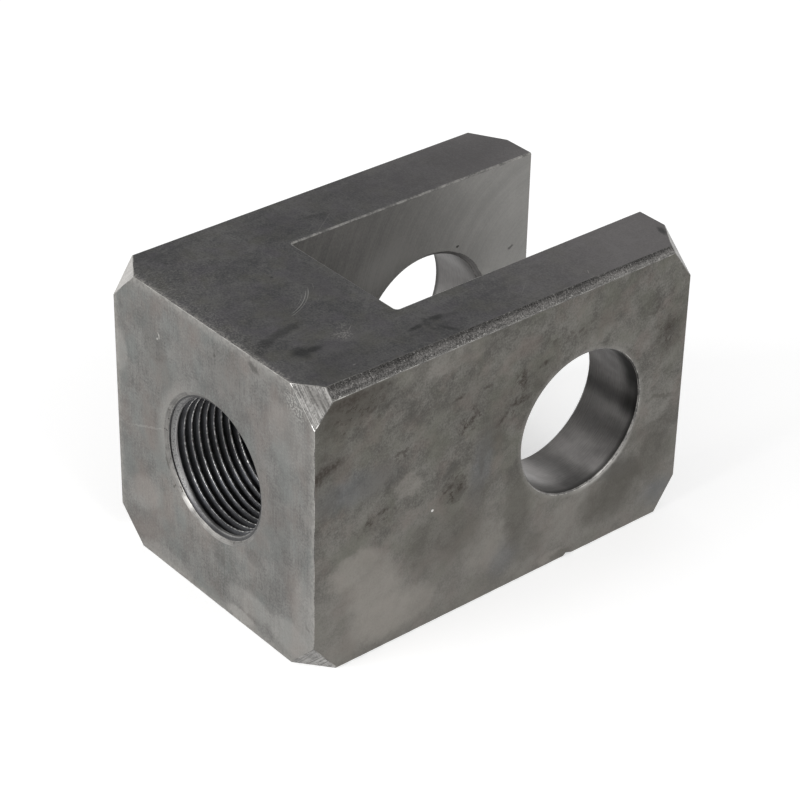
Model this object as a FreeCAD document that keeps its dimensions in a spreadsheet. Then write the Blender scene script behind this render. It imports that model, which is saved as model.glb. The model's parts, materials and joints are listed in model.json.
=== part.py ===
import FreeCAD, Part
import Sketcher
import os

from FreeCAD import Vector

# Rod clevis: one block of square steel bar. A slot milled in from one end leaves two ears,
# a pin bore crosses both ears, and a tapped bore for the rod runs in from the other end.
# Frame: origin where the pin's axis crosses the rod's axis, +X along the pin,
# +Y from the threaded end to the ear tips, +Z up. Millimetres.

NODE = "clevis_body"

# How far a cut reaches past the surface it leaves by, and how near counts as the same place.
BEYOND = 1.0
CLOSE = 1e-4

# Driving sizes: alias, value, what it is.
SIZES = [
    ("block_length", 105.5, "threaded face to ear tips"),
    ("block_width", 70.0, "across both ears, along the pin"),
    ("block_height", 70.0, "height of the bar"),
    ("edge_break", 0.35, "flat on the bar's long edges"),
    ("pin_from_face", 74.5, "threaded face to the pin's axis"),
    ("pin_bore", 35.0, "diameter of the pin bore"),
    ("pin_outer_chamfer", 0.3, "chamfer of the pin bore at the outer faces"),
    ("pin_inner_chamfer", 1.0, "chamfer of the pin bore at the slot"),
    ("slot_width", 35.7, "between the ears"),
    ("root_from_face", 35.2, "threaded face to the bottom of the slot"),
    ("root_fillet", 0.8, "corner radius at the bottom of the slot"),
    ("slot_edge_break", 0.3, "flat on the slot's edges above and below"),
    ("rod_thread", 33.0, "nominal diameter of the rod thread, the wall of its bore"),
    ("mouth_chamfer", 1.0, "width of the countersink at the threaded face"),
    ("mouth_angle", 60.0, "half angle of that countersink"),
    ("thread_exit_chamfer", 0.4, "chamfer of the tapped bore at the slot"),
    ("nick_from_face", 71.3, "threaded face to the dent in the lower edge"),
    ("nick_steep_side", 0.9, "dent, run of its steep side"),
    ("nick_gentle_side", 2.9, "dent, run of its gentle side"),
    ("nick_height", 0.9, "dent, up the side"),
    ("nick_depth", 1.0, "dent, into the side"),
]

# Plane cuts, ground by hand and so each of its own size: end, side, height, then the
# length cut off along the width, along the height and along the block.
CORNER_CUTS = [
    ("face", "near", "top", 7.8, 7.5, 6.8),
    ("face", "near", "bottom", 7.8, 8.0, 6.4),
    ("face", "far", "top", 8.1, 8.1, 5.4),
    ("face", "far", "bottom", 7.9, 7.6, 5.4),
    ("tip", "near", "top", 9.1, 8.8, 6.4),
    ("tip", "near", "bottom", 8.6, 8.4, 5.8),
    ("tip", "far", "top", 8.8, 8.5, 5.1),
    ("tip", "far", "bottom", 8.6, 8.4, 5.4),
]

# The bar's rolled corner was left along the near top edge: a rough flat that narrows
# from the threaded face to the ear tip.
BAR_CORNER = [
    ("bar_corner_at_face", 2.35, "width of the bar's own corner at the threaded face"),
    ("bar_corner_at_tip", 1.3, "width of the bar's own corner at the ear tip"),
]

FACE_Y = "(0 - sizes.pin_from_face)"
TIP_Y = "(sizes.block_length - sizes.pin_from_face)"
ROOT_Y = "(sizes.root_from_face - sizes.pin_from_face)"


def make_sheet(doc):
    """The spreadsheet: a name, a value and a note to a row, each value under its alias."""
    sheet = doc.addObject("Spreadsheet::Sheet", "sizes")
    rows = list(SIZES) + list(BAR_CORNER)
    for end, side, height, across, up, along in CORNER_CUTS:
        place = f"{end}_{side}_{height}"
        rows.append((f"cut_{place}_across", across, f"corner cut, {end} {side} {height}, across"))
        rows.append((f"cut_{place}_up", up, f"corner cut, {end} {side} {height}, up the height"))
        rows.append((f"cut_{place}_along", along, f"corner cut, {end} {side} {height}, along the block"))
    for number, (alias, value, note) in enumerate(rows, start=1):
        sheet.set(f"A{number}", alias)
        sheet.set(f"B{number}", str(value))
        sheet.set(f"C{number}", note)
        sheet.setAlias(f"B{number}", alias)
    doc.recompute()


def origin_feature(body, role):
    """One of the body's own origin planes or axes."""
    return next(feature for feature in body.Origin.OriginFeatures if feature.Role == role)


def outline(body, name, role, corners, offset=None):
    """A closed outline of straight lines on an origin plane, each corner's two
    coordinates held by expressions; offset is the plane's distance along its normal."""
    sketch = body.newObject("Sketcher::SketchObject", name)
    sketch.AttachmentSupport = [(origin_feature(body, role), "")]
    sketch.MapMode = "FlatFace"
    if offset:
        sketch.setExpression("AttachmentOffset.Base.z", offset)
    places = [(float(sketch.evalExpression(x)), float(sketch.evalExpression(y))) for x, y in corners]
    points = [Vector(x, y, 0) for x, y in places]
    count = len(points)
    for index in range(count):
        sketch.addGeometry(Part.LineSegment(points[index], points[(index + 1) % count]), False)
    for index in range(count):
        sketch.addConstraint(Sketcher.Constraint("Coincident", index, 2, (index + 1) % count, 1))
    for index, expressions in enumerate(corners):
        for axis, value, expression in zip("XY", places[index], expressions):
            name_here = f"corner{index + 1}{axis}"
            number = sketch.addConstraint(Sketcher.Constraint("Distance" + axis, index, 1, value))
            sketch.renameConstraint(number, name_here)
            sketch.setExpression(f"Constraints.{name_here}", expression)
    return sketch


def pocket(body, name, sketch, length, both_ways=False):
    """A pocket cut against its sketch's normal, or both ways."""
    cut = body.newObject("PartDesign::Pocket", name)
    cut.Profile = sketch
    cut.setExpression("Length", length)
    cut.Midplane = both_ways
    return cut


def groove(body, name, sketch, axis_role):
    """A full turn of the sketch about one of the body's own axes."""
    cut = body.newObject("PartDesign::Groove", name)
    cut.Profile = sketch
    cut.ReferenceAxis = (origin_feature(body, axis_role), [""])
    cut.Angle = 360.0
    return cut


def edges_where(feature, wanted):
    """Names of the feature's edges for which wanted(edge) is true."""
    return [f"Edge{number}" for number, edge in enumerate(feature.Shape.Edges, start=1) if wanted(edge)]


def make_bar(body):
    """The square bar, with its long edges broken, from the threaded face to the ear tips."""
    half_x, half_z, flat = "sizes.block_width / 2", "sizes.block_height / 2", "sizes.edge_break"
    corners = []
    for sign_x, sign_z, first in ((1, 1, "x"), (-1, 1, "z"), (-1, -1, "x"), (1, -1, "z")):
        at_side = (f"{sign_x} * {half_x}", f"{sign_z} * ({half_z} - {flat})")
        at_end = (f"{sign_x} * ({half_x} - {flat})", f"{sign_z} * {half_z}")
        corners += [at_side, at_end] if first == "x" else [at_end, at_side]
    sketch = outline(body, "bar_section", "XZ_Plane", corners, offset=f"0 - {TIP_Y}")
    bar = body.newObject("PartDesign::Pad", "bar")
    bar.Profile = sketch
    bar.setExpression("Length", "sizes.block_length")
    return bar


def make_slot(doc, body):
    """The slot between the ears, with small radii at its bottom and broken edges."""
    half = "sizes.slot_width / 2"
    open_end = f"{TIP_Y} + {BEYOND}"
    corners = [
        (f"-1 * {half}", ROOT_Y),
        (half, ROOT_Y),
        (half, open_end),
        (f"-1 * {half}", open_end),
    ]
    sketch = outline(body, "slot_outline", "XY_Plane", corners)
    slot = pocket(body, "slot", sketch, length=f"sizes.block_height + {2 * BEYOND}", both_ways=True)
    doc.recompute()

    half_slot = sketch.evalExpression(half)
    root = sketch.evalExpression(ROOT_Y)
    tip = sketch.evalExpression(TIP_Y)
    top = sketch.evalExpression("sizes.block_height / 2")

    def upright_at_root(edge):
        at_root = all(abs(v.Y - root) < CLOSE for v in edge.Vertexes)
        at_wall = all(abs(abs(v.X) - half_slot) < CLOSE for v in edge.Vertexes)
        return at_root and at_wall and edge.BoundBox.XLength < CLOSE

    rounded = body.newObject("PartDesign::Fillet", "slot_root_radii")
    rounded.Base = (slot, edges_where(slot, upright_at_root))
    rounded.setExpression("Radius", "sizes.root_fillet")
    doc.recompute()

    def around_slot(edge):
        on_face = all(abs(abs(v.Z) - top) < CLOSE for v in edge.Vertexes)
        inside = all(abs(v.X) < half_slot + CLOSE and v.Y > root - CLOSE for v in edge.Vertexes)
        at_tip = all(abs(v.Y - tip) < CLOSE for v in edge.Vertexes)
        return on_face and inside and not at_tip

    broken = body.newObject("PartDesign::Chamfer", "slot_edge_breaks")
    broken.Base = (rounded, edges_where(rounded, around_slot))
    broken.setExpression("Size", "sizes.slot_edge_break")
    return broken


def make_pin_bore(body):
    """The pin's bore through both ears, turned about X: a fine chamfer at the outer faces
    and a wider one at each ear's inner face."""
    outer, inner, radius = "sizes.block_width / 2", "sizes.slot_width / 2", "sizes.pin_bore / 2"
    fine, wide = "sizes.pin_outer_chamfer", "sizes.pin_inner_chamfer"
    right_half = [
        (inner, f"{radius} + {wide}"),
        (f"{inner} + {wide}", radius),
        (f"{outer} - {fine}", radius),
        (f"{outer} + {BEYOND}", f"{radius} + {fine} + {BEYOND}"),
        (f"{outer} + {BEYOND}", "0"),
    ]
    left_half = [(f"-1 * ({x})", y) for x, y in reversed(right_half)]
    sketch = outline(body, "pin_bore_profile", "XY_Plane", right_half + left_half)
    return groove(body, "pin_bore", sketch, "X_Axis")


def make_rod_bore(body):
    """The rod's bore, turned about Y, from the countersunk mouth to the slot."""
    radius, slope = "sizes.rod_thread / 2", "tan(sizes.mouth_angle)"
    enter, leave = "sizes.mouth_chamfer", "sizes.thread_exit_chamfer"
    profile = [
        ("0", f"{FACE_Y} - {BEYOND}"),
        (f"{radius} + {enter} + {BEYOND} * {slope}", f"{FACE_Y} - {BEYOND}"),
        (radius, f"{FACE_Y} + {enter} / {slope}"),
        (radius, f"{ROOT_Y} - {leave}"),
        (f"{radius} + {leave}", ROOT_Y),
        (f"{radius} + {leave}", f"{ROOT_Y} + {BEYOND}"),
        ("0", f"{ROOT_Y} + {BEYOND}"),
    ]
    sketch = outline(body, "rod_bore_profile", "XY_Plane", profile)
    return groove(body, "rod_bore", sketch, "Y_Axis")


def plane_cut(body, name, side_x, side_z, corners, across, up):
    """A flat ground off the block. The outline of what it takes off the top or the bottom
    face slides parallel to the flat, as far out as across for each up, until it has left
    the side face."""
    face_z = f"{side_z} * sizes.block_height / 2"
    sketch = outline(body, name + "_outline", "XY_Plane", corners, offset=face_z)
    cut = pocket(body, name, sketch, length=f"2 * {up}")
    cut.UseCustomVector = True
    cut.setExpression("Direction.x", f"{side_x} * {across}")
    cut.Direction.y = 0.0
    cut.setExpression("Direction.z", f"{-side_z} * {up}")


def make_corner_cuts(body):
    """The eight ground corners. Each flat leaves its corner at three lengths: across on the
    edge along X, up on the upright edge and along on the edge along Y."""
    for end, side, height, *_ in CORNER_CUTS:
        place = f"{end}_{side}_{height}"
        across, up, along = (f"sizes.cut_{place}_{way}" for way in ("across", "up", "along"))
        side_x, side_z = 1 if side == "near" else -1, 1 if height == "top" else -1
        end_y, inwards = (TIP_Y, -1) if end == "tip" else (FACE_Y, 1)
        edge_x = f"{side_x} * sizes.block_width / 2"
        corners = [
            (f"{edge_x} - {2 * side_x} * {across}", f"{end_y} - {inwards} * {along}"),
            (f"{edge_x} + {side_x} * {across}", f"{end_y} + {2 * inwards} * {along}"),
            (f"{edge_x} + {side_x} * {across}", f"{end_y} - {inwards} * {along}"),
        ]
        plane_cut(body, f"cut_{place}", side_x, side_z, corners, across, up)


def make_bar_corner(body):
    """The bar's own corner along the near top edge, at 45 degrees, narrowing to the tip."""
    edge_x = "sizes.block_width / 2"
    at_face, at_tip = "sizes.bar_corner_at_face", "sizes.bar_corner_at_tip"
    corners = [
        (f"{edge_x} - {at_face}", FACE_Y),
        (f"{edge_x} - {at_tip}", TIP_Y),
        (f"{edge_x} + {BEYOND}", TIP_Y),
        (f"{edge_x} + {BEYOND}", FACE_Y),
    ]
    wider = f"max({at_face}; {at_tip})"
    plane_cut(body, "bar_corner", 1, 1, corners, wider, wider)


def make_nick(body):
    """The dent in the near lower edge: a notch with one steep side and one gentle one."""
    peak = f"{FACE_Y} + sizes.nick_from_face + sizes.nick_steep_side"
    below = f"-1 * sizes.block_height / 2 - {BEYOND}"
    spread = f"(1 + {BEYOND} / sizes.nick_height)"
    corners = [
        (f"{peak} - sizes.nick_steep_side * {spread}", below),
        (f"{peak} + sizes.nick_gentle_side * {spread}", below),
        (peak, "-1 * sizes.block_height / 2 + sizes.nick_height"),
    ]
    sketch = outline(body, "nick_outline", "YZ_Plane", corners, offset="sizes.block_width / 2")
    return pocket(body, "nick", sketch, length="sizes.nick_depth")


def check(doc, body):
    """Stops if a feature failed or changed nothing or the solid isn't whole, and
    otherwise returns what each feature took away; a fillet in a corner adds, so less than 0."""
    for item in doc.Objects:
        if "Invalid" in item.State or "Error" in item.State:
            raise RuntimeError(f"{item.Name} failed: {item.State} {item.getStatusString()}")
    taken = {}
    for cut in body.Group:
        if getattr(cut, "BaseFeature", None):
            taken[cut.Name] = cut.BaseFeature.Shape.Volume - cut.Shape.Volume
            if abs(taken[cut.Name]) < CLOSE:
                raise RuntimeError(f"{cut.Name} changes nothing")
    shape = body.Shape
    if shape.isNull() or not shape.isValid() or len(shape.Solids) != 1:
        raise RuntimeError(f"{body.Label} isn't one valid solid")
    return taken


def main():
    doc = FreeCAD.newDocument("rod_clevis")
    make_sheet(doc)
    body = doc.addObject("PartDesign::Body", NODE)
    body.Label = NODE
    make_bar(body)
    make_slot(doc, body)
    make_pin_bore(body)
    make_rod_bore(body)
    make_corner_cuts(body)
    make_bar_corner(body)
    make_nick(body)
    doc.recompute()

    taken = check(doc, body)

    os.makedirs("parts", exist_ok=True)
    body.Shape.exportStep(f"parts/{NODE}.step")
    box = body.Shape.BoundBox
    print(f"{NODE}: {body.Shape.Volume:.0f} mm3, {len(body.Shape.Faces)} faces")
    print(f"  {box.XLength:.2f} x {box.YLength:.2f} x {box.ZLength:.2f} mm, Y from {box.YMin:.2f} to {box.YMax:.2f}")
    for name, volume in taken.items():
        print(f"  {name}: {volume:.2f} mm3 off")


main()
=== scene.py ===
# %% [markdown]
# # A rod clevis in bare steel
# A rod clevis is a fork that screws onto the end of a cylinder's rod. This one is a single block of square
# bar: a slot leaves two ears, a pin bore crosses them, and the rod's thread runs in from the other end. The
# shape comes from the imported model. This notebook gives it what the photograph shows: a cut thread,
# softened edges and the marks that each tool and each hand left on the steel.

import json
import math

import bmesh
import bpy
import numpy as np
from mathutils import Matrix, Vector


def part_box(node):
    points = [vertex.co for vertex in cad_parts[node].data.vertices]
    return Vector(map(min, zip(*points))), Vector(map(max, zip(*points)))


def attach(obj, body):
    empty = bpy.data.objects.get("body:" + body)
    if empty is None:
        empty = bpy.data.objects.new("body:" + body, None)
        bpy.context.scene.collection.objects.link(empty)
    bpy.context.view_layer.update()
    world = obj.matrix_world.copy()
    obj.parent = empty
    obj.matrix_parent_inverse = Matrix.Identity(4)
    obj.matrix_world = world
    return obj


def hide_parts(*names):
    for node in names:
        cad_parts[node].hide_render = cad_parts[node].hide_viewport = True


MM = 0.001

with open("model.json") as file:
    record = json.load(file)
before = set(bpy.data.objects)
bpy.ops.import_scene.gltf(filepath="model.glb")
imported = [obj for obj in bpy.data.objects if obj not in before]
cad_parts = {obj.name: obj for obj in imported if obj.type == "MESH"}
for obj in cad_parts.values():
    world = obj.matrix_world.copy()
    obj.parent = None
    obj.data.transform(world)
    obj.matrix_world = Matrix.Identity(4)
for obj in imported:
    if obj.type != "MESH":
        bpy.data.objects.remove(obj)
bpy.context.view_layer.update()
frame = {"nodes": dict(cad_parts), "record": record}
block_low, block_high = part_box("clevis_body")
block_middle = (block_low + block_high) / 2
print("block, mm:", [round((high - low) / MM, 2) for low, high in zip(block_low, block_high)])

# %% [markdown]
# ## The camera
# The picture was taken from the right of the threaded end and from above, with a long lens. The angles
# below were found by matching the block's corners in the picture with its real ones. A camera could be
# aimed with a Track To constraint, but three axes worked out from the angles also give the small roll of
# the picture.

# %% The camera
AZIMUTH, ELEVATION, ROLL = math.radians(49.513), math.radians(32.384), math.radians(1.302)
DISTANCE = 598.9 * MM
AIM_RIGHT, AIM_DOWN = -0.64 * MM, 2.68 * MM
LENS, SENSOR = 120.8, 36.0
NEAREST_SEEN = 10 * MM


def view_axes(azimuth, elevation):
    """Right, up and back of a level view. Azimuth 0 looks along +Y; back points to the eye."""
    back = Vector((
        math.sin(azimuth) * math.cos(elevation),
        -math.cos(azimuth) * math.cos(elevation),
        math.sin(elevation),
    ))
    right = Vector((math.cos(azimuth), math.sin(azimuth), 0.0))
    return right, back.cross(right), back


def put_in_scene(name, data):
    """A new object with this data, linked to the scene."""
    thing = bpy.data.objects.new(name, data)
    bpy.context.scene.collection.objects.link(thing)
    return thing


def aimed(place, axes):
    """The matrix of a camera or a lamp at a place, with these three axes as its right, up and back."""
    return Matrix.Translation(place) @ Matrix(axes).transposed().to_4x4()


right, up, back = view_axes(AZIMUTH, ELEVATION)
picture_right = right * math.cos(ROLL) + up * math.sin(ROLL)
picture_up = up * math.cos(ROLL) - right * math.sin(ROLL)
eye = block_middle + DISTANCE * back + AIM_RIGHT * picture_right - AIM_DOWN * picture_up
camera = put_in_scene("camera", bpy.data.cameras.new("camera"))
camera.data.lens = LENS
camera.data.sensor_width = SENSOR
camera.data.clip_start = NEAREST_SEEN
camera.matrix_world = aimed(eye, (picture_right, picture_up, back))
bpy.context.scene.camera = camera
print("eye, mm:", [round(x / MM, 1) for x in eye])

# %% [markdown]
# ## The lamps
# The block stands in soft light that comes mostly from the threaded end, low down, so the end face is the
# lightest side and the top the darkest. Two large area lamps do this: the larger a lamp, the softer its
# shadows.

# %% Two soft lamps
def soft_lamp(name, azimuth, elevation, distance, size, power):
    """A square lamp that faces the block's middle from an azimuth and elevation in degrees. Distance and
    size are in metres, the power in watts."""
    axes = view_axes(math.radians(azimuth), math.radians(elevation))
    lamp = put_in_scene(name, bpy.data.lights.new(name, "AREA"))
    lamp.data.size = size
    lamp.data.energy = power
    lamp.matrix_world = aimed(block_middle + distance * axes[2], axes)
    print(name, power, "W,", size, "m wide")


soft_lamp("lamp_end", azimuth=-12, elevation=18, distance=1.1, size=0.8, power=10)
soft_lamp("lamp_side", azimuth=100, elevation=28, distance=1.2, size=0.9, power=6)

# %% [markdown]
# ## The world
# Around the block is a plain white studio. Lit evenly from all sides, steel looks flat, so the world is
# white only to the eye and in reflections, and dimmer where it lights a surface. A light path node tells
# these rays apart.

# %% A world with two levels
WORLD_LEVEL = 0.45


def seen_rays(nodes, links):
    """1 for the camera's rays and for rays in gloss or glass, and 0 for the rays that light a surface."""
    rays = nodes.new("ShaderNodeLightPath")
    total = rays.outputs["Is Camera Ray"]
    for kind in ("Is Glossy Ray", "Is Transmission Ray"):
        both = nodes.new("ShaderNodeMath")
        both.operation = "ADD"
        both.use_clamp = True
        links.new(total, both.inputs[0])
        links.new(rays.outputs[kind], both.inputs[1])
        total = both.outputs[0]
    return total


def level_for_rays(nodes, links, unseen, seen):
    """A strength that is seen for the rays above and unseen for all others."""
    strength = nodes.new("ShaderNodeMapRange")
    strength.inputs["To Min"].default_value = unseen
    strength.inputs["To Max"].default_value = seen
    links.new(seen_rays(nodes, links), strength.inputs["Value"])
    return strength.outputs["Result"]


world = bpy.data.worlds.new("studio")
world.use_nodes = True
bpy.context.scene.world = world
world_nodes, world_links = world.node_tree.nodes, world.node_tree.links
background = world_nodes["Background"]
background.inputs["Color"].default_value = (1, 1, 1, 1)
world_links.new(level_for_rays(world_nodes, world_links, WORLD_LEVEL, 1.0), background.inputs["Strength"])
print("world:", WORLD_LEVEL, "as a light, 1.0 to the eye")

# %% [markdown]
# ## The floor
# The block stands on white paper. Matt white paint keeps the block's soft shadow, and a little glow that
# only the eye and reflections see brings the paper up to white.

# %% The floor
FLOOR_HALF = 3.0
FLOOR_GAP = 0.02 * MM
FLOOR_GLOW = 0.46
corner_signs = np.array([(-1, -1), (1, -1), (1, 1), (-1, 1)])
floor_corners = np.column_stack([FLOOR_HALF * corner_signs, np.full(4, block_low.z - FLOOR_GAP)])
floor_mesh = bpy.data.meshes.new("floor")
floor_mesh.from_pydata(floor_corners.tolist(), [], [[0, 1, 2, 3]])
paper = bpy.data.materials.new("white_paper")
paper.use_nodes = True
paper_nodes, paper_links = paper.node_tree.nodes, paper.node_tree.links
paper_shader = paper_nodes["Principled BSDF"]
paper_shader.inputs["Base Color"].default_value = (0.8, 0.8, 0.8, 1)
paper_shader.inputs["Roughness"].default_value = 0.9
paper_shader.inputs["Specular IOR Level"].default_value = 0.0
paper_shader.inputs["Emission Color"].default_value = (1, 1, 1, 1)
glow = level_for_rays(paper_nodes, paper_links, 0.0, FLOOR_GLOW)
paper_links.new(glow, paper_shader.inputs["Emission Strength"])
floor_mesh.materials.append(paper)
floor = put_in_scene("floor", floor_mesh)
print("floor:", 2 * FLOOR_HALF, "m wide")

# %% [markdown]
# ## The block's skin
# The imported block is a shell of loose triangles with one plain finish. On the real part every tool left its
# own surface, so the skin below is a copy of that shell in which corners in the same place are joined and
# triangles in one plane are one face. The Weld and Decimate modifiers could do both, but the joined faces
# are needed at once, to be sorted by tool.

# %% Join the loose triangles
MICRON = 0.001 * MM
ONE_PLANE = math.radians(0.1)


def joined(places, faces, step):
    """Places and faces after places that round to the same multiple of a step have become one. A triangle
    that lost a corner this way is left out."""
    _, first, number = np.unique(np.round(places / step), axis=0, return_index=True, return_inverse=True)
    faces = number.ravel()[faces]
    whole = (faces != np.roll(faces, 1, axis=1)).all(axis=1)
    return places[first], faces[whole]


def corners_and_triangles(mesh):
    """The places of a mesh's corners, and three corner numbers for each of its triangles."""
    places = np.empty(3 * len(mesh.vertices))
    mesh.vertices.foreach_get("co", places)
    order = np.empty(len(mesh.loops), int)
    mesh.loops.foreach_get("vertex_index", order)
    return places.reshape(-1, 3), order.reshape(-1, 3)


def measured(mesh):
    """How many faces a mesh has, how many of its edges don't join exactly two of them, and its volume,
    which is positive if the faces point outwards."""
    work = bmesh.new()
    work.from_mesh(mesh)
    open_edges = sum(not edge.is_manifold for edge in work.edges)
    volume = work.calc_volume(signed=True) / MM**3
    work.free()
    return f"{len(mesh.polygons)} faces, {open_edges} open edges, {volume:.1f} cubic mm"


corners, triangles = joined(*corners_and_triangles(frame["nodes"]["clevis_body"].data), MICRON)
skin_mesh = bpy.data.meshes.new("clevis_skin")
skin_mesh.from_pydata(corners.tolist(), [], triangles.tolist())
work = bmesh.new()
work.from_mesh(skin_mesh)
bmesh.ops.dissolve_limit(work, angle_limit=ONE_PLANE, verts=work.verts, edges=work.edges)
work.to_mesh(skin_mesh)
work.free()
print("skin:", len(triangles), "triangles made into", measured(skin_mesh))

# %% [markdown]
# ## Which tool made which face
# A face's direction and its distance from the block's walls or from a bore's axis say which tool made it: a
# flat side, a wall of the slot, a bore, a ground corner. What no rule claims is a narrow strip along an
# edge. Picking faces by hand would work once, but these rules go on working when the model's numbers
# change.

# %% The block's own sizes
mounts = {mount["name"]: mount for mount in frame["record"]["mounts"]}
PIN_R, ROD_R = mounts["pin_bore"]["dims"]["r_mm"], mounts["rod_thread"]["dims"]["r_mm"]
LOW, HIGH = np.array(block_low) / MM, np.array(block_high) / MM
FACE_Y = LOW[1]
MOUTH_R = 17.5
SLOT_HALF, SLOT_Y = 17.85, FACE_Y + 35.2
print("bores' radii, mm:", PIN_R, ROD_R, "slot's bottom at y:", round(SLOT_Y, 2))

# %% Sort the faces by the tool that made them
FINISHES = [
    "faced_end", "bar_face", "cheek", "milled_slot", "bored_wall", "countersink", "ground_corner",
    "mill_corner", "worn_edge",
]
# How closely a side's normal follows an axis, and how near (mm) the side lies to the block's wall.
SQUARE, ON_WALL = 0.999, 0.05
# How far (mm) beyond the slot, a bore or a corner of the block its own faces may lie.
SLOT_SLACK, BORE_REACH, CORNER_REACH = 0.01, 1.1, 12.0
# The middle of the rough corner lies between these two places on X (mm).
MILL_NEAR, MILL_FAR = 33.3, 34.6


def normals_and_middles(mesh):
    """Normals and middles (mm) of a mesh's faces as two arrays."""
    normals = np.empty(3 * len(mesh.polygons))
    middles = np.empty(3 * len(mesh.polygons))
    mesh.polygons.foreach_get("normal", normals)
    mesh.polygons.foreach_get("center", middles)
    return normals.reshape(-1, 3), middles.reshape(-1, 3) / MM


def sort_faces(mesh):
    """The number in FINISHES of each face. A later rule wins over an earlier one."""
    normals, middles = normals_and_middles(mesh)
    facing_x, facing_y, facing_z = facing = np.abs(normals).T
    x, y, z = middles.T
    from_wall = np.minimum(np.abs(middles - LOW), np.abs(middles - HIGH)).T
    side_x, side_y, side_z = (facing > SQUARE) & (from_wall < ON_WALL)
    in_slot = (np.abs(x) < SLOT_HALF + SLOT_SLACK) & (y > SLOT_Y - SLOT_SLACK)
    in_ear = np.abs(x) > SLOT_HALF - 1
    up_and_right = (normals[:, [0, 2]] > 0.6).all(axis=1)
    rules = {
        "milled_slot": in_slot & (facing_z < 0.3),
        "faced_end": side_y,
        "bar_face": side_z,
        "cheek": side_x,
        "bored_wall": (np.hypot(y, z) < PIN_R + BORE_REACH) & in_ear & (facing_x < 0.9),
        "countersink": (np.hypot(x, z) < ROD_R + BORE_REACH) & (y < SLOT_Y + 1) & (facing_y < 0.95),
        "ground_corner": (facing > 0.3).all(axis=0) & (from_wall < CORNER_REACH).all(axis=0),
        "mill_corner": (facing_y < 0.05) & up_and_right & (x > MILL_NEAR) & (x < MILL_FAR),
    }
    finish = np.full(len(normals), FINISHES.index("worn_edge"))
    for name, chosen in rules.items():
        finish[chosen] = FINISHES.index(name)
    return finish


finish_of_face = sort_faces(skin_mesh)
for number, name in enumerate(FINISHES):
    print(" ", name, int((finish_of_face == number).sum()), "faces")

# %% [markdown]
# ## A material built node by node
# Bare steel is never one grey. Pictures could carry its stains, but a pattern worked out by nodes has no
# pixels and fits any side. Clicking hundreds of nodes together is slow, so this helper adds one node at a
# time and hands its output to the next. It also keeps the colour so far, and each new coat goes over it as
# paint would.

# %% The node helper
finishes = {}


def screen(red, green, blue):
    """The linear colour of three screen levels from 0 to 255."""
    return tuple(((level / 255 + 0.055) / 1.055) ** 2.4 for level in (red, green, blue)) + (1.0,)


class Coats:
    """A metal whose colour is built up in coats. A shade is three screen levels or a node's output."""

    def __init__(self, name, metallic=0.8):
        self.material = bpy.data.materials.new(name)
        self.material.use_nodes = True
        self.tree = self.material.node_tree
        self.shader = self.tree.nodes["Principled BSDF"]
        self.shader.inputs["Metallic"].default_value = metallic
        self.place = self.add("TexCoord").outputs["Object"]
        self.colour = None

    def add(self, kind, inputs=None, **settings):
        """A node whose inputs are numbers or other nodes' outputs."""
        node = self.tree.nodes.new("ShaderNode" + kind)
        for name, value in settings.items():
            setattr(node, name, value)
        for key, value in (inputs or {}).items():
            if isinstance(value, bpy.types.NodeSocket):
                self.tree.links.new(value, node.inputs[key])
            else:
                node.inputs[key].default_value = value
        return node

    def math(self, operation, *values):
        """One Math node."""
        return self.add("Math", dict(enumerate(values)), operation=operation).outputs[0]

    def both(self, one, other):
        """Where two masks overlap: their product."""
        return self.math("MULTIPLY", one, other)

    def either(self, one, other):
        """The larger of two values at each place."""
        return self.math("MAXIMUM", one, other)

    def rise(self, value, low, high, start=0.0, end=1.0):
        """A smooth step from start to end while the value goes from low to high."""
        inputs = {"Value": value, "From Min": low, "From Max": high, "To Min": start, "To Max": end}
        return self.add("MapRange", inputs, interpolation_type="SMOOTHSTEP").outputs[0]

    def blend(self, *parts):
        """0.5 plus each value's distance from 0.5 times its weight."""
        total = 0.5 - sum(weight for _, weight in parts) / 2
        for value, weight in parts:
            total = self.math("MULTIPLY_ADD", value, weight, total)
        return total

    def mix(self, amount, below, above):
        """One shade over another, by amount."""
        shades = [screen(*shade) if isinstance(shade, tuple) else shade for shade in (below, above)]
        return self.add("Mix", {0: amount, 6: shades[0], 7: shades[1]}, data_type="RGBA").outputs[2]

    def base(self, tone, dark, light, low=0.0, high=1.0):
        """The first coat: from dark to light while the tone goes from low to high."""
        self.colour = self.mix(self.rise(tone, low, high), dark, light)

    def paint(self, amount, shade):
        """One more coat over the colour so far, by amount."""
        self.colour = self.mix(amount, self.colour, shade)

    def done(self, roughness, relief, depth):
        """Link colour, roughness and a relief from 0 to 1 that is depth mm deep, and keep the material."""
        self.tree.links.new(self.colour, self.shader.inputs["Base Color"])
        self.tree.links.new(roughness, self.shader.inputs["Roughness"])
        bump = self.add("Bump", {"Height": relief, "Distance": depth * MM, "Strength": 1.0})
        self.tree.links.new(bump.outputs[0], self.shader.inputs["Normal"])
        finishes[self.material.name] = self.material
        print("finish", self.material.name, "has", len(self.tree.nodes), "nodes")


# %% [markdown]
# ## Patterns in millimetres
# Oil, handling and the tool's own lines change the steel's colour, gloss and small relief. All of it comes
# from noise in the block's own coordinates, stretched and turned as the tool went. Marks that sit in one
# place, such as stains and scratches, are soft ellipses with a ragged outline. They are tied to the block,
# so they stay with it.

# %% The pattern helper
# A face is given as the number of the axis across it and its level (mm).
FRONT, TOP, NEAR = (1, FACE_Y), (2, HIGH[2]), (0, HIGH[0])
FAR_WALL, IN_EAR = (0, -SLOT_HALF), (0, 27)
ON_AXIS = (0, 0)
# A mark still shows this far (mm) behind its face. A size without an end makes its axis count for nothing.
MARK_DEPTH, ENDLESS = 30.0, 1e6
APART = 37.0


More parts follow.
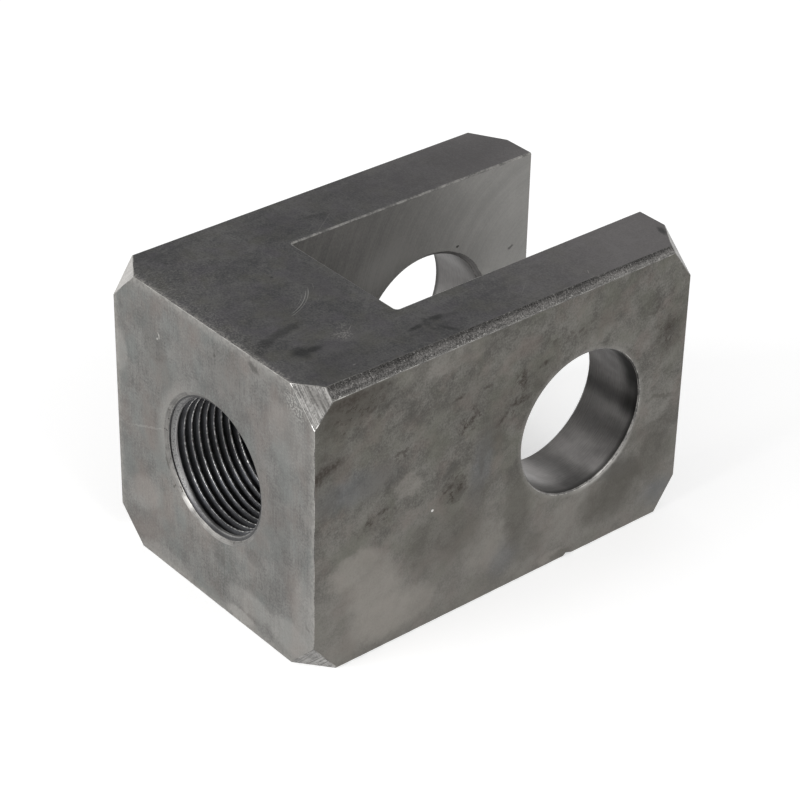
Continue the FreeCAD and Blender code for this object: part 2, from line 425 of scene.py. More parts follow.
class Finish(Coats):
    """A steel with patterns. Each starts APART lumps further on in the noise than the last, so the order of
    the calls is part of the look."""

    seed = 0

    def scaled(self, size, turn=(0, 0, 0), centre=(0, 0, 0), place=None):
        """The place divided by size mm along each axis, after it is centred and turned back by turn."""
        inputs = {
            "Vector": place or self.place,
            "Location": [x * MM for x in centre],
            "Rotation": [math.radians(x) for x in turn],
            "Scale": [x * MM for x in size],
        }
        return self.add("Mapping", inputs, vector_type="TEXTURE").outputs[0]

    def lumps(self, size, detail=3.0, turn=(0, 0, 0), place=None, rough=0.55):
        """Noise from 0 to 1 in lumps of size mm along each axis, with a grey and a colour output."""
        size = (size,) * 3 if isinstance(size, (int, float)) else size
        self.seed += 1
        start = [APART * self.seed * x for x in size]
        place = self.scaled(size, turn, start, place)
        return self.add("TexNoise", {"Vector": place, "Scale": 1.0, "Detail": detail, "Roughness": rough})

    def grey(self, size, **settings):
        """The noise as one number."""
        return self.lumps(size, **settings).outputs["Fac"]

    def patches(self, size, low, high, strength=1.0, detail=5, **settings):
        """A mask that rises from 0 to the strength where the noise goes from low to high."""
        return self.rise(self.grey(size, detail=detail, **settings), low, high, 0, strength)

    def wander(self, amount, size):
        """The place, pushed about by up to amount mm in lumps of that size, which makes outlines ragged."""
        random = {0: self.lumps(size).outputs["Color"], 1: (0.5, 0.5, 0.5)}
        push = self.add("VectorMath", random, operation="SUBTRACT").outputs[0]
        inputs = {0: push, 1: (2 * amount * MM,) * 3, 2: self.place}
        return self.add("VectorMath", inputs, operation="MULTIPLY_ADD").outputs[0]

    def rings(self, distance, width, detail=1.0):
        """Noise that changes only with a distance in mm, which draws lines of about that width. It counts
        as a pattern, too."""
        self.seed += 1
        inputs = {"W": distance, "Scale": 1.0 / width, "Detail": detail}
        return self.add("TexNoise", inputs, noise_dimensions="1D").outputs["Fac"]

    def from_axis(self, axis, centre, place=None):
        """Distance in mm from a line along an axis through centre, two numbers for the other axes."""
        first, second = (other for other in range(3) if other != axis)
        middle, size = [0.0] * 3, [1.0] * 3
        middle[first], middle[second] = centre
        size[axis] = ENDLESS
        moved = self.scaled(size, centre=middle, place=place)
        return self.add("VectorMath", {0: moved}, operation="LENGTH").outputs["Value"]

    def along(self, axis, place=None):
        """How far along an axis a place lies, in metres."""
        return self.add("SeparateXYZ", {0: place or self.place}).outputs[axis]

    def towards(self, axis, start, stop, strength=1.0, place=None):
        """0 at a start in mm along an axis, rising smoothly to the strength at the stop."""
        return self.rise(self.along(axis, place), start * MM, stop * MM, 0, strength)

    def near_level(self, axis, level, reach, place=None):
        """1 at a level (mm) along an axis, on both sides of the middle, falling to 0 at reach mm inside."""
        return self.rise(self.math("ABSOLUTE", self.along(axis, place)), (level - reach) * MM, level * MM)

    def spots(self, face, rows, place=None, soft=0.3):
        """Soft ellipses on a face: their strength in the middle, 0 outside. A row has the middle along the
        two axes of the face, two half sizes, the turn in degrees and the strength."""
        axis, level = face
        first, second = (other for other in range(3) if other != axis)
        total = 0.0
        for a, b, half_a, half_b, turn, strength in rows:
            centre, half, turned = [0.0] * 3, [MARK_DEPTH] * 3, [0.0] * 3
            centre[axis], centre[first], centre[second] = level, a, b
            half[first], half[second] = half_a, half_b
            turned[axis] = -turn if axis == 1 else turn
            moved = self.scaled(half, turned, centre, place)
            from_middle = self.add("VectorMath", {0: moved}, operation="LENGTH").outputs["Value"]
            total = self.either(total, self.rise(from_middle, 1 - soft, 1 + soft, strength, 0.0))
        return total


# %% [markdown]
# ## The faced ends
# Both ends were faced and then rubbed by hand along the bar's height. They are the lightest flat sides: a
# warm grey with fine upright lines, soft clouds of a hand's size, and a lighter ragged rim where the edges
# were rubbed.

# %% Faced ends
end = Finish("faced_end")
ragged = end.wander(0.8, 1.2)
clouds, blots = end.grey(12, detail=4), end.grey(3.2, detail=4, rough=0.65)
upright, crumbs = end.grey((0.5, 3, 6)), end.grey(0.5, detail=2)
tone = end.blend((clouds, 1.1), (blots, 1.1), (upright, 0.7), (crumbs, 1.5))
end.base(tone, (92, 91, 89), (121, 120, 117))
end.paint(end.patches((9, 9, 13), 0.42, 0.68, 0.6), (115, 107, 102))
end.paint(end.patches((6, 6, 9), 0.46, 0.68, 0.5), (107, 111, 109))
rim = end.either(end.near_level(2, HIGH[2], 2.6, ragged), end.near_level(0, HIGH[0], 2.4, ragged))
rubbed = end.rise(end.grey(0.9, detail=3), 0.4, 0.6, 0.3, 0.85)
end.paint(end.both(rim, rubbed), (140, 138, 134))

# %% [markdown]
# ## Marks on the threaded face
# The threaded face has dark spots, short scratches, light clouds, a smear near its right corner and a faint
# painted highlight round the bore, strongest at its left. A painted picture could hold them, but here each
# mark is one row of numbers.

# %% Marks on the threaded face
END_SHADES = [
    (1.6, 29.2, 0.45, 0.45, 0, 1), (-16.2, -5.6, 0.9, 2.6, 8, 0.9), (32.7, -22.9, 0.9, 0.35, -40, 0.8),
    (15, 32.6, 1.8, 0.8, -20, 0.7), (-24.2, 25.8, 4, 2.5, 0, 0.15), (19.4, -20.2, 8, 3, 30, 0.15),
    (3.5, -21.1, 5, 2, -20, 0.2), (-13.7, -11.4, 0.25, 1.4, -38, 0.8), (5.5, 26.7, 6, 6, 0, 0.25),
    (10.5, 19.7, 3, 3, 0, 0.3), (23.4, -3.3, 3.5, 12, 5, 0.25), (14.4, -15.2, 2.5, 2, 0, 0.35),
    (14.7, 21.3, 0.5, 0.25, 10, 0.6), (-20, 20.5, 4, 3, 0, 0.3), (28, 21, 3, 3, 0, 0.15),
]
END_LIGHTS = [
    (-18.2, 24.4, 0.14, 0.9, 12, 1), (-18.7, 23.5, 0.5, 0.18, 30, 0.8),
    (-24.1, -1.5, 7.2, 0.22, 21.6, 0.25), (-14.9, -8.3, 0.3, 0.3, 0, 1), (-26.1, -19.9, 7, 4, 30, 0.2),
    (13.4, -28.1, 8, 3, 0, 0.3), (31.3, -20.3, 3.5, 10, 0, 0.25), (27.3, -28.7, 8, 4.5, 0, 0.35),
    (-17.2, -32.9, 8, 2.2, 0, 0.25), (9.5, -33.0, 5, 1.6, 0, 0.5), (-33.1, 13.9, 2.5, 5, 0, 0.3),
    (26.4, 21.6, 7, 7, 0, 0.2), (11.3, -28.6, 0.8, 3.2, 0, 0.4),
]
END_SMEAR = [(28.6, 30.6, 3.4, 2.0, -40, 0.6)]
HIGHLIGHT_SIDE = [(-14, 7, 12, 11, 0, 0.35)]
HALO_IN, HALO_OUT = MOUTH_R + 0.4, MOUTH_R + 3.5
end.paint(end.spots(FRONT, END_SHADES, ragged), (76, 74, 71))
end.paint(end.spots(FRONT, END_LIGHTS, ragged), (160, 158, 154))
smear = end.both(end.spots(FRONT, END_SMEAR, ragged, soft=0.6), end.rise(crumbs, 0.45, 0.6))
end.paint(smear, (166, 164, 160))
# Painted highlight: a faint light ring round the bore's mouth, strongest at its left.
mouth_highlight = end.rise(end.from_axis(1, ON_AXIS, end.wander(1.0, 4.0)), HALO_IN, HALO_OUT, 1.0, 0.0)
end.paint(end.both(mouth_highlight, end.spots(FRONT, HIGHLIGHT_SIDE, soft=0.7)), (160, 158, 154))
relief = end.blend((upright, 0.4), (crumbs, 0.9))
end.done(end.rise(tone, 0, 1, 0.58, 0.44), relief, 0.02)

# %% [markdown]
# ## The bar's top and bottom
# These two sides keep the skin of the drawn bar. It is darker and a little bluer than cut steel, speckled,
# and lighter towards the ear tips.

# %% Bar faces
bar = Finish("bar_face")
ragged = bar.wander(1.3, 2.5)
clouds, drawn, crumbs = bar.grey(13, detail=4), bar.grey((1.5, 9, 3)), bar.grey(0.42, detail=2)
blots = bar.grey(2.4, detail=4, rough=0.65)
tone = bar.blend((clouds, 1.1), (blots, 1.0), (drawn, 0.4), (crumbs, 1.5))
bar.base(tone, (55, 55, 56), (80, 79, 78))
bar.paint(bar.patches(7, 0.46, 0.68, 0.6), (72, 71, 65))
bar.paint(bar.patches(6, 0.46, 0.68, 0.5), (70, 67, 72))
bar.paint(bar.towards(1, -34, 27, 0.85), (95, 92, 92))

# %% [markdown]
# ## Marks on the top
# Stains lie where wet hands and swarf lay. The few bright arcs are scratches from a clamp or a turning
# chip, so they are rings round one point that show only in a short stretch. Along the threaded end the skin
# is rubbed off.

# %% Marks on the top
BAR_SHADES = [
    (28.1, -37.1, 5.5, 9, 0, 0.3), (27.6, -27.2, 3, 5, 0, 0.25), (27, -61, 6, 8, 0, 0.4),
    (22, -60, 4, 7, 0, 0.25), (12.5, -70.4, 1.6, 3.5, 22, 0.4), (-2.8, -45, 8, 4, 0, 0.35),
    (4.1, -58.9, 9, 6, 0, 0.15), (-25.5, -34.1, 6, 8, 0, 0.4), (-26.5, -33.6, 5, 4, 0, 0.35),
    (-26.3, 2.4, 9, 34, 0, 0.42), (-24, -28.5, 1.4, 4, 0, 0.35), (-27.3, -9.4, 1.5, 1.5, 0, 0.3),
]
BAR_STAINS = [
    (19.4, -65.5, 2.1, 2.0, 0, 1), (19.8, -63.0, 1.0, 2.4, 0, 1), (14.2, -72.3, 1.3, 1.9, 20, 0.6),
    (12.3, -69.2, 1.3, 3.2, 22, 0.65), (10.6, -63.4, 1.2, 4.4, 8, 0.75), (26.1, -40.9, 0.6, 1.9, 7, 0.9),
    (25.8, -37.8, 2.0, 0.7, -16, 0.6), (28.9, -38.0, 1.6, 0.6, 37, 0.5), (25.4, -34.9, 0.8, 1.9, -4, 0.9),
    (30.4, -35.5, 1.7, 0.55, 31, 0.8), (26.3, -31.8, 0.8, 1.7, -12, 0.35),
    (27.6, 28.6, 1.8, 0.7, -15, 0.8), (-8.7, -51.7, 0.35, 0.35, 0, 0.8), (-27.4, -65.9, 0.6, 0.5, 0, 0.6),
    (8.5, -71.4, 0.5, 0.8, 0, 0.6), (-24.6, -27.9, 0.6, 3.2, -12, 0.5),
]
BAR_LIGHTS = [
    (19.1, -54.5, 2.1, 2.2, 30, 0.42), (16.1, -53, 0.6, 1.8, 10, 0.35), (-8, -72, 24, 2.5, 0, 0.25),
    (-20, -66, 9, 8, 0, 0.15), (33.8, -4.4, 0.5, 18, 0, 0.6),
]
BAR_TICKS = [
    (19.6, -54.5, 0.1, 1, 30, 0.5), (18.4, -53.8, 0.1, 0.8, -35, 0.5), (17.7, -51.6, 0.1, 0.9, 40, 0.5),
    (-21, -27.7, 0.1, 5.2, 34, 0.2), (-21.8, -30.2, 0.08, 3.5, 34, 0.15), (27.5, -12.3, 0.1, 3, 38, 0.2),
    (30.9, 3.2, 0.1, 0.7, 60, 0.8), (-13.8, -65.9, 0.1, 0.8, 20, 0.25), (29.5, -60, 0.15, 0.4, 0, 0.5),
]
ARC_MIDDLE, ARC_WIDTH = (-8.9, -62.0), 0.3
ARC_STRETCH = [(3.2, -52.6, 0.7, 6.4, 35, 0.75), (5.1, -51.0, 0.5, 4, 30, 0.3)]
speckle = bar.patches(0.45, 0.5, 0.6, detail=1)
bar.paint(bar.spots(TOP, BAR_SHADES, ragged, soft=0.7), (47, 46, 47))
bar.paint(bar.spots(TOP, BAR_STAINS, bar.wander(0.45, 1.2), soft=0.6), (32, 32, 32))
bar.paint(bar.both(bar.spots(TOP, BAR_LIGHTS, ragged, soft=0.6), speckle), (128, 126, 123))
bar.paint(bar.spots(TOP, BAR_TICKS), (124, 122, 119))
arcs = bar.rise(bar.rings(bar.from_axis(2, ARC_MIDDLE), ARC_WIDTH), 0.55, 0.65)
bar.paint(bar.both(arcs, bar.spots(TOP, ARC_STRETCH, soft=0.6)), (128, 127, 124))
fringe = bar.near_level(1, -FACE_Y, 1.7, bar.wander(0.9, 0.9))
bar.paint(bar.both(fringe, bar.rise(crumbs, 0.42, 0.58, 0.2, 1.0)), (126, 124, 120))
relief = bar.blend((crumbs, 1.0), (drawn, 0.4))
bar.done(bar.rise(tone, 0, 1, 0.6, 0.46), relief, 0.025)

# %% [markdown]
# ## The cheeks
# The two sides that the pin crosses were milled and then stained: olive and brown patches of old oil and
# first rust lie in slanting bands. A painted light makes the lower half lighter.

# %% Cheeks
SLANT = (35, 0, 0)
cheek = Finish("cheek")
ragged = cheek.wander(2.2, 3.0)
clouds = cheek.grey((20, 12, 8), detail=5, turn=SLANT, place=ragged, rough=0.6)
blots = cheek.grey((9, 3.6, 2.6), detail=4, turn=SLANT, rough=0.56)
crumbs = cheek.grey(0.45, detail=2)
tone = cheek.blend((clouds, 1.5), (blots, 1.0), (crumbs, 1.0))
cheek.base(tone, (76, 74, 70), (112, 110, 105))
cheek.paint(cheek.patches(8, 0.44, 0.7, 0.6), (92, 92, 83))
cheek.paint(cheek.patches(7, 0.46, 0.7, 0.5), (108, 99, 94))
# Painted light: the cheek grows lighter towards the bottom.
cheek.paint(cheek.towards(2, 8, -30, 0.45, ragged), (128, 125, 120))

# %% [markdown]
# ## Marks on the near cheek
# Where the rust bit deeper there are dark pits, broken up by a slanting grain. Cool, light and dark clouds
# lie under them. Along the top, next to the ground corner, a painted shade darkens the band where the
# corner rounds away, and a thin painted highlight rings the pin bore, strongest on its lower side. Each
# group has a softness of its own.

# %% Clouds on the near cheek
CHEEK_COOL = [
    (-65, 9.1, 10, 3.5, 0, 0.5), (-29.2, 0.2, 2.5, 8, -10, 0.5), (8.4, -15.7, 8, 3, -20, 0.4),
    (26.1, -28.5, 5, 3, 0, 0.5), (-21.4, -26.6, 4, 4, 0, 0.4),
]
CHEEK_LIGHTS = [
    (-63.1, -11.2, 7, 4, 5, 0.55), (-58.1, -18.6, 7, 7, 0, 0.6), (-55.2, -26.6, 9, 6, -10, 0.7),
    (-47.2, -27.1, 6, 4, 20, 0.5), (-27.8, -20.1, 6.2, 7, 15, 0.27), (-49.6, 4.2, 4, 2.6, -15, 0.4),
    (-2.6, -24.6, 6, 5, -15, 0.15), (-39.1, 31, 12, 3, 0, 0.2), (-6.6, -33, 4, 1.5, 0, 0.5),
]
# The row at y -65, z 29.6 is a painted shade below the rounded top corner; the others are dark clouds.
CHEEK_SHADES = [
    (-69, 26.1, 4.5, 4, 0, 0.45), (-70, 17.5, 5, 5, 0, 0.4), (-71.5, 10.1, 3.5, 4, 0, 0.35),
    (-65, 29.6, 8.5, 4.2, 3, 0.85), (25.4, 13.5, 4.5, 5.5, 0, 0.45), (-26, 8.1, 5, 4, 50, 0.4),
    (-28.7, 3.1, 1.3, 5.5, -8, 0.45), (-29.8, -5.8, 3.5, 4, 0, 0.45), (-36.7, -2.1, 3.4, 3, -20, 0.5),
    (-58.6, -1, 4, 1.2, 18, 0.4), (-17.9, -16.7, 3.5, 11, 5, 0.5), (-14.5, -26.6, 5, 4, 0, 0.35),
    (-44.7, -13.7, 4.5, 7, 10, 0.35), (-35.2, -14.2, 8, 7, 0, 0.45), (14.3, -19.1, 7.5, 4, -15, 0.75),
    (10, -24.6, 8.5, 5.5, 0, 0.65), (23.2, -16.7, 5, 7, 0, 0.5), (21.2, -10.3, 8, 1.8, 3, 0.4),
    (-17, 15, 8, 5, 30, 0.3), (-33, 20, 7, 4, 10, 0.2), (2.6, 23.9, 8, 2.5, 0, 0.3),
    (24.3, -2.8, 3.3, 0.5, -12, 0.6), (-58, 9, 5, 4, 0, 0.35), (-4.1, -33.5, 3, 1.2, 0, 0.5),
]
cheek.paint(cheek.spots(NEAR, CHEEK_COOL, ragged, soft=0.7), (98, 100, 103))
cheek.paint(cheek.spots(NEAR, CHEEK_LIGHTS, ragged, soft=0.35), (138, 134, 128))
cheek.paint(cheek.spots(NEAR, CHEEK_SHADES, ragged, soft=0.5), (74, 71, 65))

# %% Pits, stains and the ring on the near cheek
CHEEK_PITS = [
    (-20, 13, 4.5, 2.5, 20, 0.8), (-18.4, 18, 2, 3.2, -10, 0.9), (-32.7, 13.4, 4, 2.2, 38, 0.9),
    (-36.7, -1.8, 3.4, 3, -10, 1), (-58.1, -0.8, 4.5, 1.6, 15, 0.8), (-63, 27, 7, 4, 5, 0.8),
    (25.6, 14, 3, 4, 10, 1), (-5, 24.5, 8, 2.4, 0, 0.5), (22.4, 21.9, 5, 3, 0, 0.4),
    (-51.5, 12.8, 3, 1.2, 0, 0.7),
]
# Painted shade: the row at y -65.5, z 31.2 darkens the band below the rounded top corner; the rest are
# stains.
CHEEK_STAINS_AND_SHADE = [
    (-70.9, 17.0, 4.0, 1.3, 12, 0.9), (-73.6, 15.6, 1.3, 1.7, 0, 0.9), (-65.5, 31.2, 5.5, 1.2, 4, 0.85),
    (-57.5, 31.4, 4.5, 0.7, 0, 0.5), (-17.8, 18.3, 0.7, 2.2, 5, 1), (-18.6, 12.9, 2.6, 0.7, 8, 1),
    (-12.2, 19.7, 1.6, 0.5, 20, 0.9), (-23.4, 10.4, 2.2, 0.6, 38, 0.8), (-36.0, 20.4, 1.6, 0.45, 10, 0.8),
    (-28.0, 20.2, 1.3, 0.4, 0, 0.8), (-32.4, 13.5, 2.3, 0.6, 45, 0.8), (-51.6, 13.1, 1.9, 0.5, 0, 0.7),
    (-37.6, -1.2, 1.0, 0.6, 0, 0.8), (-35.2, -2.6, 1.3, 0.9, 30, 0.8), (-60.5, -0.8, 1.1, 0.45, 20, 0.8),
    (-56.3, 0.6, 1.2, 0.45, 20, 0.8), (25.4, 15.0, 1.6, 1.8, 20, 0.7), (-59.6, 26.8, 1.6, 0.6, 30, 0.6),
]
CHEEK_SPECKS = [(-42.7, -5.2, 0.34, 0.3, 0, 1)]
RING_LIT_SIDE, RING_FAINT = [(8.5, -16.5, 8, 5, 30, 0.75)], 0.15
RING_IN, RING_OUT = PIN_R + 0.5, PIN_R + 1.6
grain = cheek.patches((3, 1.6, 1.1), 0.5, 0.6, turn=SLANT, rough=0.75)
pits = cheek.both(cheek.spots(NEAR, CHEEK_PITS, ragged, soft=0.8), grain)
stains_and_shade = cheek.spots(NEAR, CHEEK_STAINS_AND_SHADE, cheek.wander(0.6, 0.9), soft=0.6)
stains_and_shade = cheek.both(stains_and_shade, cheek.rise(cheek.grey(0.8, detail=3), 0.38, 0.56, 0.45, 1.0))
cheek.paint(cheek.either(pits, stains_and_shade), (56, 50, 45))
cheek.paint(cheek.spots(NEAR, CHEEK_SPECKS), (205, 203, 200))
# Painted highlight: a thin bright ring round the pin bore, strongest on its lower side.
ring_highlight = cheek.rise(cheek.from_axis(0, ON_AXIS, cheek.wander(0.3, 1.5)), RING_IN, RING_OUT, 1.0, 0.0)
lit_side = cheek.math("ADD", cheek.spots(NEAR, RING_LIT_SIDE, ragged, soft=0.7), RING_FAINT)
cheek.paint(cheek.both(ring_highlight, lit_side), (166, 164, 160))
relief = cheek.math("SUBTRACT", cheek.blend((crumbs, 1.0), (blots, 0.4)), pits)
cheek.done(cheek.rise(tone, 0, 1, 0.6, 0.44), relief, 0.03)

# %% [markdown]
# ## The slot
# A side-and-face cutter as wide as the slot ran in from the open end and stopped at the slot's bottom. Its
# teeth drew arcs round the cutter's own middle, which lay near the ear tips, so the lines are noise in the
# distance from that point. Deep in the slot a painted shade darkens the steel, and it grows lighter towards
# the open end.

# %% Slot
CUTTER_MIDDLE = (38, 2)
SLOT_STAINS = [(9.1, 17.7, 0.5, 0.3, 0, 0.9), (25.7, 11.9, 0.9, 0.35, 20, 0.6)]
SLOT_LIGHTS = [(-14, 19.5, 7, 4, 25, 0.35)]
slot = Finish("milled_slot")
from_cutter = slot.from_axis(0, CUTTER_MIDDLE, slot.wander(0.5, 12))
lines, swells = slot.rings(from_cutter, 0.35), slot.rings(from_cutter, 2.2, detail=2)
clouds, crumbs = slot.grey(12, detail=4), slot.grey(0.5, detail=2)
tone = slot.blend((lines, 0.5), (swells, 0.5), (clouds, 1.3), (crumbs, 0.8))
slot.base(tone, (95, 94, 92), (119, 117, 114))
# Painted shade: darker deep in the slot, lighter towards the open end.
slot.paint(slot.towards(1, -32, 31, 0.6), (142, 141, 138))
slot.paint(slot.spots(FAR_WALL, SLOT_STAINS, slot.wander(0.3, 0.6)), (45, 43, 41))
slot.paint(slot.spots(FAR_WALL, SLOT_LIGHTS, slot.wander(1.5, 5), soft=0.7), (150, 149, 146))
relief = slot.blend((lines, 0.8), (crumbs, 0.5))
slot.done(slot.rise(tone, 0, 1, 0.5, 0.36), relief, 0.012)

# %% [markdown]
# ## The pin bore
# The pin bore was bored to size with a single point, which leaves fine rings and the smoothest surface of
# the block. Its look comes mostly from its gloss, and painted reflections stand for it: soft streaks of
# dark and light run along the wall. Painted shade makes the wall darkest just inside its near rim, and
# darker in the far ear. Marks on a round wall are easiest to place by their angle.

# %% Bored wall
WALL_DARK_REFLECTIONS = [(-84, 3.0, 0.5), (-11, 1.6, 0.36), (28, 3.0, 0.15)]
WALL_BRIGHT_REFLECTIONS = [(-106, 3.0, 0.35), (-64, 1.9, 0.25)]
RIM_PAINTED_SHADE = [(24, 9.0, 1.0), (-5, 4, 0.7), (-98, 7, 0.5)]
RIM_SHADE_AT, RIM_SHADE_LINE_AT, CHAMFER_AT = 32.5, 34.4, 34.75


def on_wall(rows):
    """Spots on the pin bore's wall from rows of angle (degrees from +Y to +Z), half size and strength."""
    spots = []
    for angle, half, strength in rows:
        turned = math.radians(angle)
        spots.append((PIN_R * math.cos(turned), PIN_R * math.sin(turned), half, half, 0, strength))
    return spots


bored = Finish("bored_wall", metallic=0.9)
lines = bored.rings(bored.math("MULTIPLY", bored.along(0), 1 / MM), 0.22)
clouds, crumbs = bored.grey((9, 5, 5), detail=3), bored.grey((0.3, 1.5, 1.5), detail=2)
tone = bored.blend((lines, 0.8), (clouds, 1.6), (crumbs, 0.7))
blurred = bored.wander(0.6, 5)
bored.base(tone, (112, 110, 109), (136, 134, 132))
# Painted reflections: dark and light streaks along the wall.
bored.paint(bored.spots(IN_EAR, on_wall(WALL_DARK_REFLECTIONS), blurred, soft=0.7), (62, 61, 61))
bored.paint(bored.spots(IN_EAR, on_wall(WALL_BRIGHT_REFLECTIONS), blurred, soft=0.7), (156, 153, 152))
# Painted shade: the far ear's bore is darker.
bored.paint(bored.towards(0, 0, -20, 0.3), (62, 61, 61))
# Painted shade: darkest just inside the near rim, with a dark line along it.
rim_shade_spots = bored.spots(NEAR, on_wall(RIM_PAINTED_SHADE), blurred, soft=0.7)
bored.paint(bored.both(bored.near_level(0, RIM_SHADE_AT, 4), rim_shade_spots), (36, 35, 34))
off_chamfer = bored.math("SUBTRACT", 0.75, bored.near_level(0, CHAMFER_AT, 0.1))
rim_shade_line = bored.both(bored.near_level(0, RIM_SHADE_LINE_AT, 1.3), off_chamfer)
bored.paint(bored.either(rim_shade_line, 0.0), (48, 47, 46))
relief = bored.blend((lines, 0.9), (crumbs, 0.3))
bored.done(bored.rise(tone, 0, 1, 0.44, 0.32), relief, 0.006)

# %% [markdown]
# ## The countersink
# The cone at the rod's end was cut with a countersink bit, which leaves rings round the rod's axis. Crumbs
# of dirt stick to it, and a painted highlight lies on its lower left side.

# %% Countersink
MOUTH_HIGHLIGHTS = [(-9.8, -14.0, 1.9, 0.8, -35, 0.42), (3, -17, 6, 1.0, 0, 0.1)]
mouth = Finish("countersink")
lines, clouds = mouth.rings(mouth.from_axis(1, ON_AXIS), 0.15), mouth.grey(2.5)
tone = mouth.blend((lines, 1.0), (clouds, 1.6))
mouth.base(tone, (94, 93, 91), (128, 126, 123))
mouth.paint(mouth.patches(0.8, 0.6, 0.68, 0.8, detail=2), (58, 55, 51))
# Painted highlight on the cone's lower left side.
mouth.paint(mouth.spots(FRONT, MOUTH_HIGHLIGHTS, soft=0.5), (214, 212, 208))
mouth.done(mouth.rise(tone, 0, 1, 0.5, 0.4), tone, 0.01)

# %% [markdown]
# ## The ground corners
# Each corner was ground away by hand on a belt, last of all, so it is the brightest part of the block, with
# long straight scratches that run one way. The scratches are noise that is stretched a lot along the belt's
# way. The corners on the far side would shine too much, so they are rougher, and a painted reflection
# makes them lighter. A painted shade darkens the lower corners and the near top corner's end by the cheek.

# %% Ground corners
BELT_TURN = (0, 45, 0)
CORNER_SHADES = [(-71.8, 32.8, 1.3, 2.0, 20, 0.55)]
corner = Finish("ground_corner", metallic=0.9)
mirrored = corner.add("VectorMath", {0: corner.place}, operation="ABSOLUTE").outputs[0]
lines = corner.grey((9, 0.24, 0.24), detail=2, turn=BELT_TURN, place=mirrored)
broad = corner.grey((12, 1.1, 1.1), detail=2, turn=BELT_TURN, place=mirrored)
crumbs, clouds = corner.grey(0.4, detail=2), corner.grey(3.5)
tone = corner.blend((lines, 1.7), (broad, 0.4), (crumbs, 1.1), (clouds, 0.9))
corner.base(tone, (90, 89, 87), (168, 166, 163), 0.05, 0.95)
# Painted reflection: the far corners are lighter.
corner.paint(corner.towards(0, -20, -30, 0.55), (205, 203, 200))
# Painted shade: the near top corner's end by the cheek, and the lower corners, are darker.
near_shade = corner.spots(NEAR, CORNER_SHADES, corner.wander(0.5, 1.5), soft=0.7)
corner.paint(corner.either(near_shade, corner.towards(2, 0, -30, 0.25)), (84, 82, 79))
roughness = corner.either(corner.rise(tone, 0, 1, 0.48, 0.34), corner.towards(0, -20, -30, 0.7))
relief = corner.blend((lines, 1.1), (crumbs, 0.3))
corner.done(roughness, relief, 0.025)

# %% [markdown]
# ## Worn edges
# Every edge was broken with a file, and handling keeps it bright. The line isn't even: it is bright where
# the steel was rubbed and dark where dirt stays, so its colour changes every few tenths of a millimetre.
# Two bright specks lie at the tips of the near top corner's facet.

# %% Worn edges
DULL_EDGES = [
    (0, SLOT_Y, 17.5, 1.5, 0, 0.85), (33.3, -20, 1.2, 50, 0, 0.9), (-17.9, -5, 0.7, 36, 0, 0.55),
    (35.2, -22, 0.8, 47, 0, 0.5),
]
BRIGHT_EDGES = [(-6, FACE_Y, 18, 0.8, 0, 0.25), (25, FACE_Y, 7, 0.8, 0, 0.25)]
CORNER_EDGE = [(31.1, 31.25, 6, 0.9, -43.9, 0.75)]
TIP_SPECKS = [(34.6, 28.0, 0.8, 0.9, 0, 1), (27.6, 34.8, 1.0, 0.6, 0, 0.8)]
edge = Finish("worn_edge", metallic=0.95)
runs, chips = edge.grey(3.5, detail=2), edge.grey(0.5, detail=3)
tone = edge.blend((runs, 1.9), (chips, 1.2))
edge.base(tone, (88, 87, 85), (160, 158, 154), 0.1, 0.9)
edge.paint(edge.spots(TOP, DULL_EDGES), (84, 83, 82))
edge.paint(edge.spots(TOP, BRIGHT_EDGES), (186, 184, 181))
edge.paint(edge.spots(FRONT, CORNER_EDGE), (112, 111, 108))
edge.paint(edge.both(edge.spots(FRONT, TIP_SPECKS), edge.rise(chips, 0.42, 0.5)), (214, 212, 209))
edge.done(edge.rise(tone, 0, 1, 0.5, 0.38), chips, 0.02)

# %% [markdown]
# ## The bar's rough corner
# Along the near top edge the bar's own corner was left as it came from the mill: a narrow flat with a
# coarse, sparkling grain, lighter along its lower side. Its grain is large enough to see in the outline, so
# it is real relief, made further down.

# %% Rough steel
rough = Finish("mill_corner", metallic=0.9)
crumbs, clouds = rough.grey(0.28, detail=3), rough.grey((6, 9, 6))
tone = rough.blend((crumbs, 2.2), (clouds, 0.8))
rough.base(tone, (54, 53, 52), (104, 102, 100), 0.1, 0.9)
low_side = rough.both(rough.near_level(0, HIGH[0], 0.75), rough.rise(tone, 0.3, 0.6, 0.4, 0.9))
rough.paint(low_side, (150, 148, 145))
rough.done(rough.rise(tone, 0, 1, 0.52, 0.34), crumbs, 0.03)

# %% [markdown]
# ## The skin put together
# A file takes off about a tenth of a millimetre along each edge. A Bevel modifier does the same and keeps
# the block's size. It only acts where two faces meet at more than 35 degrees, so the facets of the bores
# stay smooth, and its narrow faces take the finish of the worn edges.

# %% Put the skin together
FILED = 0.12 * MM
CREASE = math.radians(35)
for name in FINISHES:
    skin_mesh.materials.append(finishes[name])
skin_mesh.polygons.foreach_set("material_index", finish_of_face.astype(np.int32))
skin_mesh.polygons.foreach_set("use_smooth", np.ones(len(skin_mesh.polygons), bool))
skin = put_in_scene("clevis_skin", skin_mesh)
softened = skin.modifiers.new("softened_edges", "BEVEL")
softened.width = FILED
softened.segments = 2
softened.limit_method = "ANGLE"
softened.angle_limit = CREASE
softened.use_clamp_overlap = False
softened.harden_normals = True
softened.material = FINISHES.index("worn_edge")
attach(skin, "root")
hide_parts("clevis_body")
print("skin:", len(skin_mesh.materials), "finishes, edges filed by", FILED / MM, "mm")

# %% [markdown]
# ## Pieces of our own
# The two pieces that follow are surfaces over two parameters. The helpers number the places of a grid, join
# its seams and make an object of it.

# %% Mesh helpers
SEAM = 0.01 * MICRON


